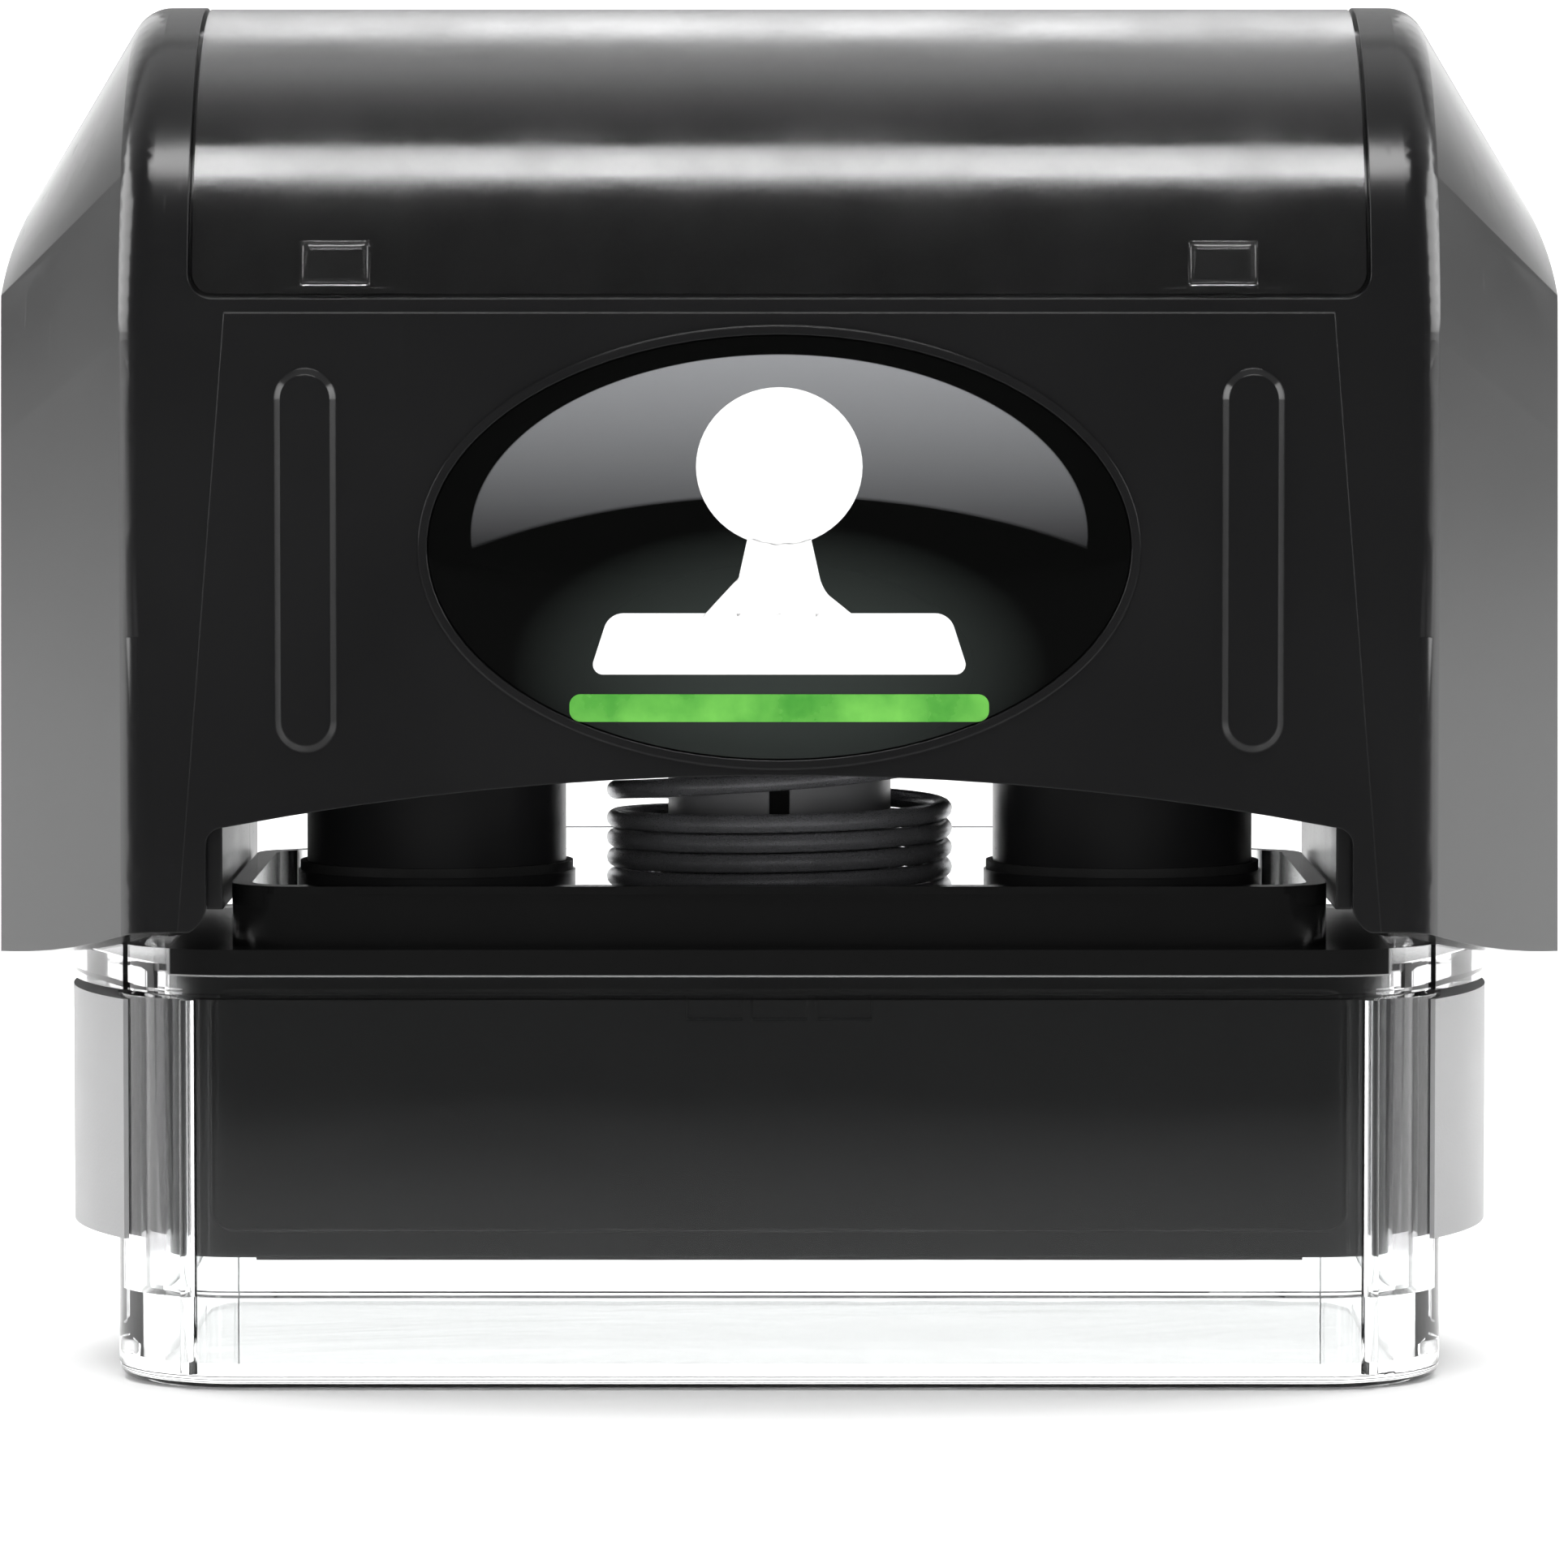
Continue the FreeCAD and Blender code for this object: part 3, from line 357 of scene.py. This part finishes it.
def spring_path(low, high, radius, pitch):
    """Closed turns at both ends and open turns between them, from low to high."""
    steps_per_turn = 64
    bottom_turns, open_turns, top_turns = 4.6, 3.4, 1.6
    closed = pitch * (bottom_turns + top_turns)
    open_pitch = (high - low - closed) / open_turns
    path, height = [], low
    total = round((bottom_turns + open_turns + top_turns) * steps_per_turn)
    for step in range(total + 1):
        turn = step / steps_per_turn
        angle = math.tau * turn - math.pi / 2
        path.append(Vector((radius * math.cos(angle), radius * math.sin(angle), height)))
        ease_in = min(max((turn - bottom_turns) / 0.5 + 0.5, 0.0), 1.0)
        ease_out = min(max((bottom_turns + open_turns - turn) / 0.5 + 0.5, 0.0), 1.0)
        openness = min(ease_in, ease_out)
        height += (pitch + (open_pitch - pitch) * openness) / steps_per_turn
    return path


def build_return_spring(material):
    low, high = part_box("return_spring")
    wire = 0.62 * MM
    radius = high.x - wire
    path = spring_path(low.z + wire * 1.05, high.z - wire * 1.05, radius, wire * 2.06)
    spring = swept_wire("return_spring_coil", path, wire, material)
    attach(spring, "skirt")
    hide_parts("return_spring")
    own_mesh(spring)


def dome_depth(x, z, centre, front, back):
    """Y of the badge's domed face: furthest forward in the middle, falling to its rim."""
    half_x, half_z, middle = centre
    reach = min((x / half_x) ** 2 + ((z - middle) / half_z) ** 2, 1.0)
    return front + (back - front) * (1 - math.sqrt(max(1 - reach * 0.96, 0.0))) / 0.8


def build_badge(material):
    low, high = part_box("front_badge")
    half_x, half_z = (high.x - low.x) / 2, (high.z - low.z) / 2
    middle = (high.z + low.z) / 2
    rim_y = low.y + 0.33 * MM
    rings, spokes = 26, 128
    points, faces = [Vector((0, low.y, middle))], []
    shares = [math.sin(math.pi / 2 * ring / rings) for ring in range(1, rings + 1)]
    for share in shares:
        for spoke in range(spokes):
            angle = math.tau * spoke / spokes
            x, z = half_x * share * math.cos(angle), middle + half_z * share * math.sin(angle)
            points.append(Vector((x, dome_depth(x, z, (half_x, half_z, middle), low.y, rim_y), z)))
    for spoke in range(spokes):
        angle = math.tau * spoke / spokes
        points.append(Vector((half_x * math.cos(angle), high.y, middle + half_z * math.sin(angle))))
    for spoke in range(spokes):
        after = (spoke + 1) % spokes
        faces.append((0, 1 + spoke, 1 + after))
        for ring in range(rings):
            inner, outer = 1 + ring * spokes, 1 + (ring + 1) * spokes
            faces.append((inner + spoke, outer + spoke, outer + after, inner + after))
    faces.append(tuple(1 + rings * spokes + spoke for spoke in range(spokes)))
    badge = fix_normals(mesh_piece("front_badge_dome", points, faces, material))
    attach(badge, "handle")
    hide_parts("front_badge")
    return (half_x, half_z, middle), low.y, rim_y


def printed_shape(name, outline, dome, material):
    """A printed patch on the badge: the outline is filled, cut fine and laid on the dome."""
    centre, front, rim = dome
    lift = 0.03 * MM
    sheet = bmesh.new()
    corners = [sheet.verts.new((x, 0, centre[2] + z)) for x, z in outline]
    sheet.faces.new(corners)
    bmesh.ops.triangulate(sheet, faces=sheet.faces)
    for _ in range(3):
        long_edges = [edge for edge in sheet.edges if edge.calc_length() > 1.2 * MM]
        if not long_edges:
            break
        bmesh.ops.subdivide_edges(sheet, edges=long_edges, cuts=1)
        bmesh.ops.triangulate(sheet, faces=sheet.faces)
    for vert in sheet.verts:
        vert.co.y = dome_depth(vert.co.x, vert.co.z, centre, front, rim) - lift
    bmesh.ops.solidify(sheet, geom=sheet.faces[:], thickness=lift * 1.6)
    mesh = bpy.data.meshes.new(name)
    sheet.to_mesh(mesh)
    sheet.free()
    obj = bpy.data.objects.new(name, mesh)
    bpy.context.scene.collection.objects.link(obj)
    mesh.materials.append(material)
    fix_normals(obj)
    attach(obj, "handle")
    return obj


def rounded_outline(corners, steps=7):
    """A closed outline from (x, z, radius) corners, in millimetres."""
    points = []
    for index, (x, z, radius) in enumerate(corners):
        here = Vector((x, z))
        back = (Vector(corners[index - 1][:2]) - here).normalized()
        ahead = (Vector(corners[(index + 1) % len(corners)][:2]) - here).normalized()
        if radius == 0:
            points.append(here)
            continue
        half = back.angle(ahead) / 2
        start, end = here + back * radius / math.tan(half), here + ahead * radius / math.tan(half)
        centre = here + (back + ahead).normalized() * radius / math.sin(half)
        for step in range(steps + 1):
            share = step / steps
            toward = start.lerp(end, share) - centre
            points.append(centre + toward.normalized() * radius)
    return [(point.x * MM, point.y * MM) for point in points]


def build_motif(dome):
    """A plain rubber stamp drawn in white, over a green line: a generic sign for the object."""
    white = print_ink("print_white", (0.90, 0.90, 0.90), (0.96, 0.96, 0.96), 5200.0)
    green = print_ink("print_green", (0.05, 0.30, 0.03), (0.16, 0.55, 0.07), 320.0)
    turns = [math.tau * step / 56 for step in range(56)]
    knob = [(4.2 * math.cos(turn), 4.1 + 4.0 * math.sin(turn), 0) for turn in turns]
    neck = [(-1.6, 0.5, 0), (-2.2, -2.2, 2.0), (-4.0, -3.6, 0), (4.0, -3.6, 0), (2.2, -2.2, 2.0),
            (1.6, 0.5, 0)]
    base = [(-9.6, -6.4, 0.5), (9.6, -6.4, 0.5), (8.6, -3.3, 1.0), (-8.6, -3.3, 1.0)]
    line = [(-10.6, -8.8, 0.55), (10.6, -8.8, 0.55), (10.6, -7.4, 0.55), (-10.6, -7.4, 0.55)]
    for name, shape, ink in (("badge_print_knob", knob, white), ("badge_print_neck", neck, white),
                             ("badge_print_base", base, white), ("badge_print_line", line, green)):
        larger = [tuple(MOTIF_SCALE * size for size in spot) for spot in shape]
        printed_shape(name, rounded_outline(larger), dome, ink)


def build_clip_tabs(material):
    """The moulded face of each snap tab: a small cushion swelling from the window's skin."""
    low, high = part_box("index_window")
    radius = high.y
    axis = high.z - radius
    tab_x, tab_rise = 28.0 * MM, 4.2 * MM
    half_width, half_height, swell, sink, steps = 2.25 * MM, 1.45 * MM, 0.35 * MM, 0.05 * MM, 14
    for side, sign in (("left", -1), ("right", 1)):
        for face, way in (("front", -1), ("back", 1)):
            points, faces = [], []
            for row in range(steps + 1):
                up = 2 * row / steps - 1
                z = axis + tab_rise + up * half_height
                for column in range(steps + 1):
                    over = 2 * column / steps - 1
                    bulge = max((1 - up ** 4) * (1 - over ** 8), 0.0) ** 0.5
                    depth = math.sqrt(radius ** 2 - (z - axis) ** 2) - sink + swell * bulge
                    points.append(Vector((tab_x * sign + over * half_width, depth * way, z)))
            for row in range(steps):
                for column in range(steps):
                    first = row * (steps + 1) + column
                    faces.append((first, first + 1, first + steps + 2, first + steps + 1))
            tab = mesh_piece(f"clip_tab_{side}_{face}", points, faces, material)
            thick = tab.modifiers.new("thickness", "SOLIDIFY")
            thick.thickness = 0.25 * MM
            thick.offset = way
            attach(tab, "window")


# --- studio -------------------------------------------------------------------------------------

def build_backdrop(material):
    """A seamless sweep: floor, a large round bend and a wall."""
    half_width, front, bend_start, bend, wall = 2.6, -2.2, 0.7, 0.6, 2.2
    profile = [(front, 0.0), (bend_start, 0.0)]
    steps = 24
    for step in range(1, steps + 1):
        angle = math.pi / 2 * step / steps
        profile.append((bend_start + bend * math.sin(angle), bend * (1 - math.cos(angle))))
    profile.append((bend_start + bend, wall))
    points = [Vector((side * half_width, y, z - 0.00005)) for y, z in profile for side in (-1, 1)]
    faces = [(2 * row, 2 * row + 1, 2 * row + 3, 2 * row + 2) for row in range(len(profile) - 1)]
    mesh_piece("backdrop", points, faces, material)


def area_light(name, spot, target, size, power):
    light = bpy.data.lights.new(name, "AREA")
    light.shape = "RECTANGLE"
    light.size, light.size_y = size
    light.energy = power
    obj = bpy.data.objects.new(name, light)
    bpy.context.scene.collection.objects.link(obj)
    obj.location = spot
    obj.rotation_euler = (Vector(target) - Vector(spot)).to_track_quat("-Z", "Y").to_euler()
    return obj


def build_dark_cards():
    """Cards before the object, seen only in reflections and through clear plastic.

    They are grey close by and black further off.
    """
    black = (0.004, 0.004, 0.004)
    recipe = Recipe("card_black", black, 0.9)
    away = recipe.math("MULTIPLY", recipe.split_place()["Y"], -1.0)
    grey = recipe.mix(recipe.ranged(away, 0.04, 0.20, 0.0, 1.0), (0.16, 0.16, 0.16), black)
    roughness = recipe.ranged(recipe.noise(12.0), 0.0, 1.0, 0.85, 0.95)
    material = recipe.feed(Base_Color=grey, Roughness=roughness)
    half, near, far, low, high = 1.6, -0.035, -1.1, 0.0006, 0.5
    near_edge = [(-half, near, low), (half, near, low)]
    far_edge = [(half, far, low), (-half, far, low)]
    top_edge = [(half, far, high), (-half, far, high)]
    corners = {"card_floor": near_edge + far_edge, "card_wall": far_edge[::-1] + top_edge}
    for name, points in corners.items():
        card = mesh_piece(name, points, [(0, 1, 2, 3)], material, smooth=False)
        card.visible_camera = card.visible_diffuse = card.visible_shadow = False


def build_back_card():
    """A glowing card behind, dim at the foot and white at the top, seen in reflections only."""
    recipe = Recipe("card_glow", (0.01, 0.01, 0.01), 0.9, Emission_Strength=1.0)
    height = recipe.split_place()["Z"]
    top, foot, back, half = 0.75, 0.001, 0.62, 0.15
    glow = recipe.mix(recipe.ranged(height, 0.08, top, 0.0, 1.0), (0.18, 0.18, 0.18), (1.0, 1.0, 1.0))
    material = recipe.feed(Emission_Color=glow)
    points = [(-half, back, foot), (half, back, foot), (half, back, top), (-half, back, top)]
    card = mesh_piece("card_back", points, [(0, 1, 2, 3)], material, smooth=False)
    card.visible_camera = card.visible_diffuse = card.visible_shadow = False
    card.visible_transmission = False


def build_lights():
    """A narrow key strip for the bright band, high side lights and unseen fill for the white floor."""
    area_light("key_strip", (0, -0.42, 0.86), (0, 0, 0.08), (0.6, 0.20), 3.6)
    for side, sign in (("left", -1), ("right", 1)):
        area_light(f"side_{side}", (1.25 * sign, 0.12, 0.42), (0, 0, 0.05), (0.85, 0.7), 9.0)
    for name, spot, target, size, power in (
            ("front_fill", (0, -0.9, 0.16), (0, 0, 0.05), (0.8, 0.4), 3.0),
            ("overhead", (0, 0.45, 1.3), (0, 0.3, 0), (2.4, 1.2), 22.0),
            ("wall_wash", (0, 0.3, 1.6), (0, 1.3, 0.6), (2.4, 0.5), 16.0)):
        fill = area_light(name, spot, target, size, power)
        fill.visible_glossy = fill.visible_transmission = False


def build_world():
    """White behind, grey overhead and near-black in front, so glossy black stays black."""
    world = bpy.data.worlds.new("studio")
    bpy.context.scene.world = world
    world.use_nodes = True
    nodes, links = world.node_tree.nodes, world.node_tree.links
    coordinates = nodes.new("ShaderNodeTexCoord")
    split = nodes.new("ShaderNodeSeparateXYZ")
    links.new(coordinates.outputs["Generated"], split.inputs[0])
    ramp = nodes.new("ShaderNodeValToRGB")
    shift = nodes.new("ShaderNodeMapRange")
    shift.inputs["From Min"].default_value = -1.0
    links.new(split.outputs["Y"], shift.inputs["Value"])
    links.new(shift.outputs[0], ramp.inputs[0])
    stops = ((0.30, 0.03), (0.50, 0.38), (0.66, 1.0))
    ramp.color_ramp.elements.new(stops[1][0])
    for element, (position, grey) in zip(ramp.color_ramp.elements, stops):
        element.position = position
        element.color = (grey, grey, grey, 1)
    links.new(ramp.outputs[0], nodes["Background"].inputs["Color"])


def build_camera():
    """Straight on to the badge side, a little above the handle's middle, with a long lens."""
    camera = bpy.data.cameras.new("camera")
    camera.sensor_width = 36.0
    camera.lens = 196.2
    camera.clip_start = 0.01
    obj = bpy.data.objects.new("camera", camera)
    bpy.context.scene.collection.objects.link(obj)
    low, high = CAD_BOUNDS
    away, height_share, down_tilt = 0.560, 0.824, 3.6
    obj.location = (0.0003, -away, (high[2] - low[2]) * height_share)
    obj.rotation_euler = (math.radians(90 - down_tilt), 0, 0)
    bpy.context.scene.camera = obj


# --- assembly -------------------------------------------------------------------------------------

def finish_nodes():
    """Give every carried-over part its material, and return those of the coil and the clip tabs."""
    gloss_black = moulded_plastic("gloss_black", (0.0085, 0.0085, 0.0088), 0.16, 0.05, edge=0.15 * MM,
                                  grain=1400.0, IOR=1.5)
    dark = moulded_plastic("dark_plastic", (0.013, 0.013, 0.0135), 0.28, 0.12, edge=0.3 * MM, IOR=1.5)
    grey = moulded_plastic("grey_plastic", (0.16, 0.16, 0.165), 0.32, 0.12, edge=0.25 * MM)
    steel = spring_steel()
    window = clear_plastic("clear_window", (0.68, 0.68, 0.685), 0.09, 0.02, 0.989)
    tabs = clear_plastic("tab_plastic", (0.80, 0.80, 0.805), 0.05, 0.9, 0.988)
    by_slot = {"gloss_black": gloss_black, "dark_plastic": dark, "grey_plastic": grey,
               "clear_plastic": shaded_end_plastic("cap_plastic"), "clear_window": window,
               "frosted_plastic": frosted_plastic(), "spring_steel": steel,
               "black_rubber": rubber("black_rubber", (0.02, 0.02, 0.02), 0.6),
               "die_rubber": rubber("die_rubber", (0.03, 0.028, 0.03), 0.25),
               "ink_felt": felt(), "foam": foam()}
    for subpart in frame["record"]["subparts"]:
        node = NODES[subpart["node"]]
        if subpart["material_slot"] in by_slot:
            node.data.materials.clear()
            node.data.materials.append(by_slot[subpart["material_slot"]])
    deck = (26.5 * MM, 33.0 * MM, 38.9 * MM, 15.6 * MM)
    NODES["skirt_frame"].data.materials[0] = shaded_end_plastic("skirt_plastic", deck)
    return steel, tabs


steel, tab_plastic = finish_nodes()
build_return_spring(steel)
build_clip_tabs(tab_plastic)
badge_middle = sum(corner.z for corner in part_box("front_badge")) / 2
dome = build_badge(badge_face(badge_middle))
build_motif(dome)
build_backdrop(studio_floor())
build_dark_cards()
build_back_card()
build_lights()
build_world()
bpy.context.scene.view_settings.view_transform = "Standard"
build_camera()
